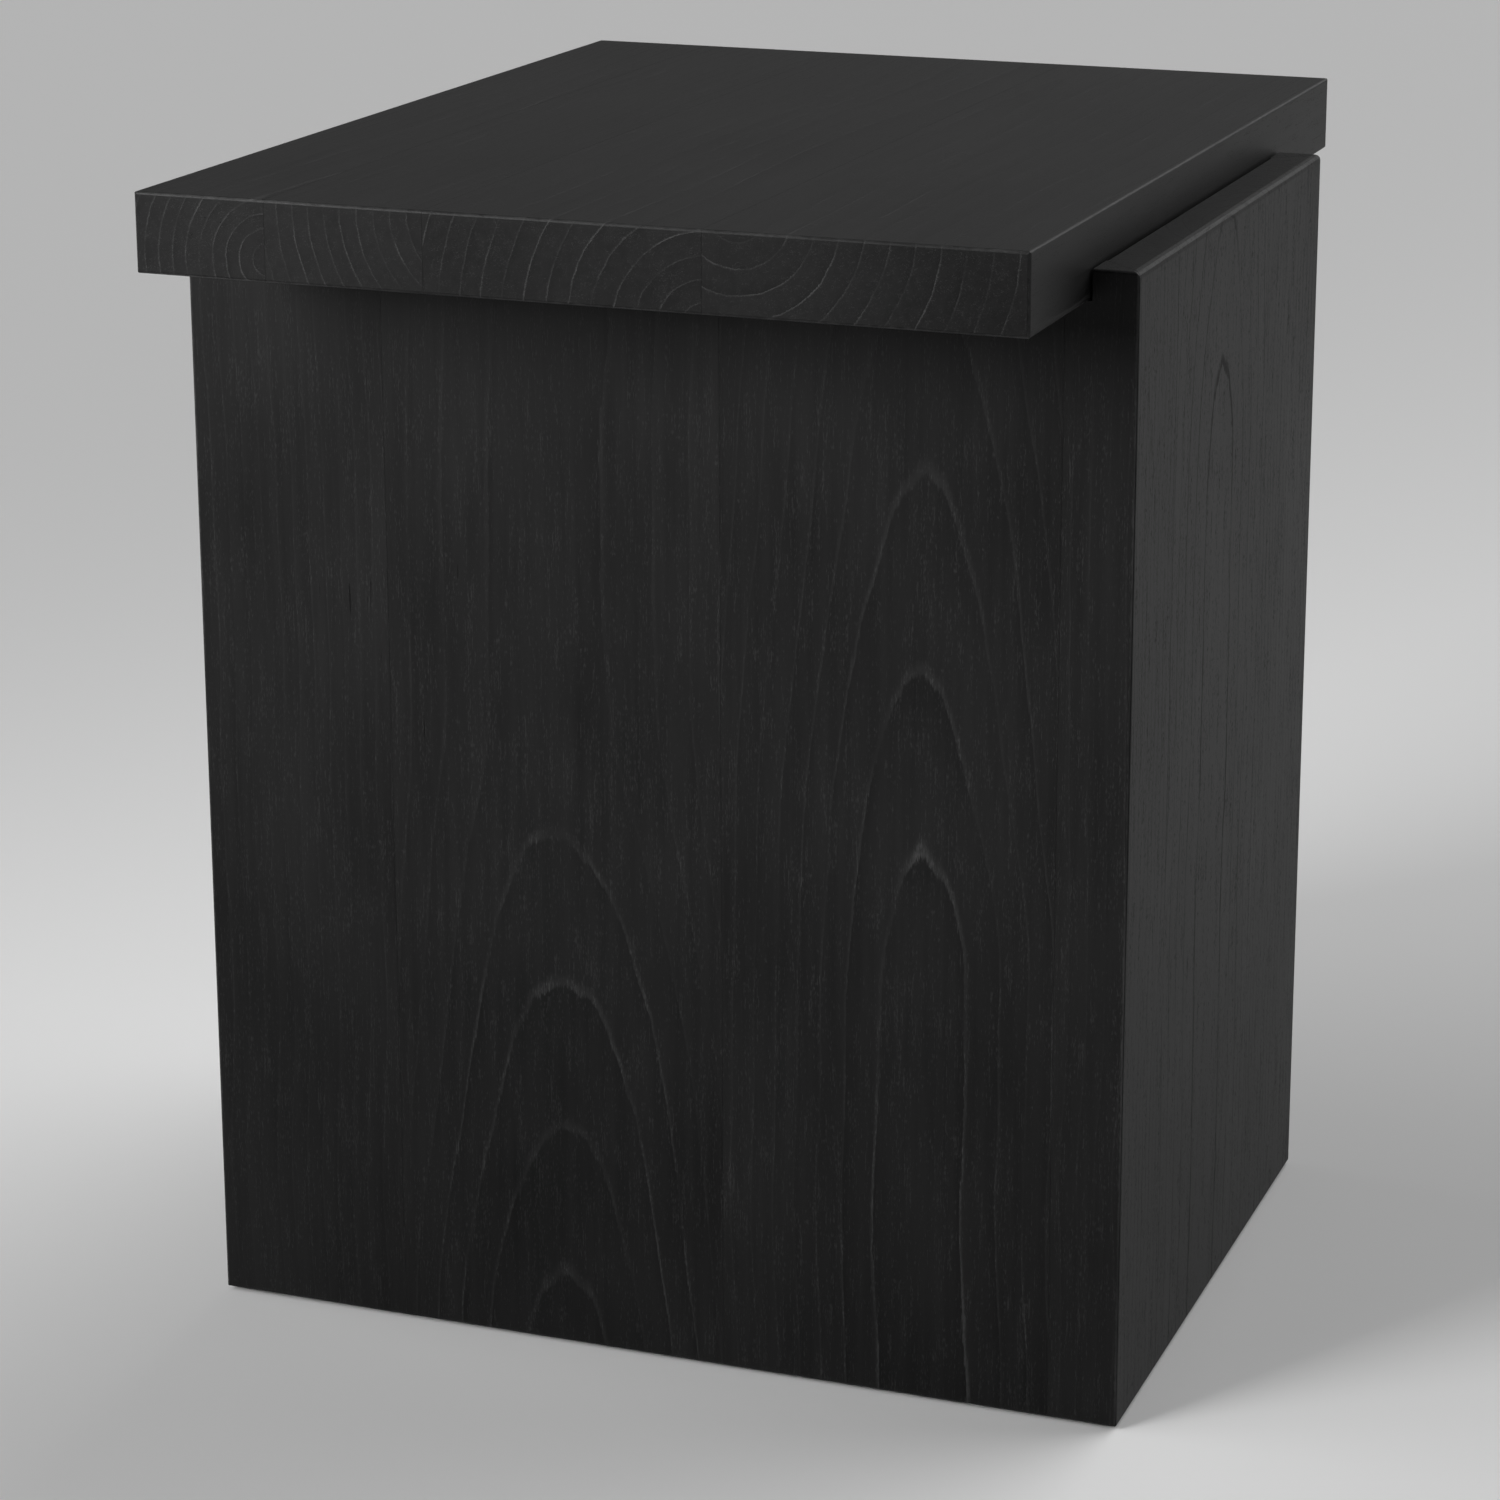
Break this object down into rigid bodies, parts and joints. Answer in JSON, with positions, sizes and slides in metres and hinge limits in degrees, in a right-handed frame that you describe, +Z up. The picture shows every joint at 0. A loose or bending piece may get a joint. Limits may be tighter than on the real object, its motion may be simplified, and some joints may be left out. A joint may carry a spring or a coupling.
{
  "type": "wooden box with lift-off lid",
  "caption": "Upright black-stained wooden box with mitred walls, raised side cheeks and a thick overhanging lift-off plank lid; used as a stool, side table or apple box.",
  "frame": {"origin": "on the floor, in the middle of the overall footprint, which is the lid's", "axes": "+Z up, +X towards the right-hand cheek seen from the front, -Y towards the front wall, where the lid's shorter overhang is"},
  "size_m": [0.411, 0.475, 0.508],
  "materials": {
    "stained_wood": "open-grain hardwood stained black under a thin satin coat",
    "inner_wood": "sawn hardwood battens, posts and rails, stained black without a top coat",
    "bottom_ply": "thin plywood stained black",
    "screw": "yellow zinc-plated countersunk wood screws",
    "glide": "dark nylon nail-on glides"
  },
  "bodies": {
    "box": {"front_board_left_edge": "stained_wood", "front_board_left": "stained_wood", "front_board_right": "stained_wood", "front_board_right_edge": "stained_wood", "back_board_left": "stained_wood", "back_board_middle": "stained_wood", "back_board_right": "stained_wood", "left_board_front": "stained_wood", "left_board_back": "stained_wood", "right_board_front": "stained_wood", "right_board_middle": "stained_wood", "right_board_back": "stained_wood", "post_front_left": "inner_wood", "post_front_right": "inner_wood", "post_back_left": "inner_wood", "post_back_right": "inner_wood", "bottom_rail_front": "inner_wood", "bottom_rail_back": "inner_wood", "bottom_rail_left": "inner_wood", "bottom_rail_right": "inner_wood", "bottom_panel": "bottom_ply", "glide_front_left": "glide", "glide_front_right": "glide", "glide_back_left": "glide", "glide_back_right": "glide", "screw_front_left_wall_1": "screw", "screw_front_left_wall_2": "screw", "screw_front_left_side_1": "screw", "screw_front_left_side_2": "screw", "screw_front_right_wall_1": "screw", "screw_front_right_wall_2": "screw", "screw_front_right_side_1": "screw", "screw_front_right_side_2": "screw", "screw_back_left_wall_1": "screw", "screw_back_left_wall_2": "screw", "screw_back_left_side_1": "screw", "screw_back_left_side_2": "screw", "screw_back_right_wall_1": "screw", "screw_back_right_wall_2": "screw", "screw_back_right_side_1": "screw", "screw_back_right_side_2": "screw", "screw_bottom_front": "screw", "screw_bottom_back": "screw", "screw_bottom_left": "screw", "screw_bottom_right": "screw"},
    "lid": {"lid_board_left": "stained_wood", "lid_board_middle_left": "stained_wood", "lid_board_middle_right": "stained_wood", "lid_board_right": "stained_wood", "lid_batten_front": "inner_wood", "lid_batten_back": "inner_wood", "screw_batten_front_left": "screw", "screw_batten_front_middle_left": "screw", "screw_batten_front_middle_right": "screw", "screw_batten_front_right": "screw", "screw_batten_back_left": "screw", "screw_batten_back_middle_left": "screw", "screw_batten_back_middle_right": "screw", "screw_batten_back_right": "screw"}
  },
  "joints": [
    {"name": "lid_lift", "type": "slide", "parent": "box", "child": "lid", "axis": [0, 0, 1], "range_m": [0, 0.3]}
  ]
}
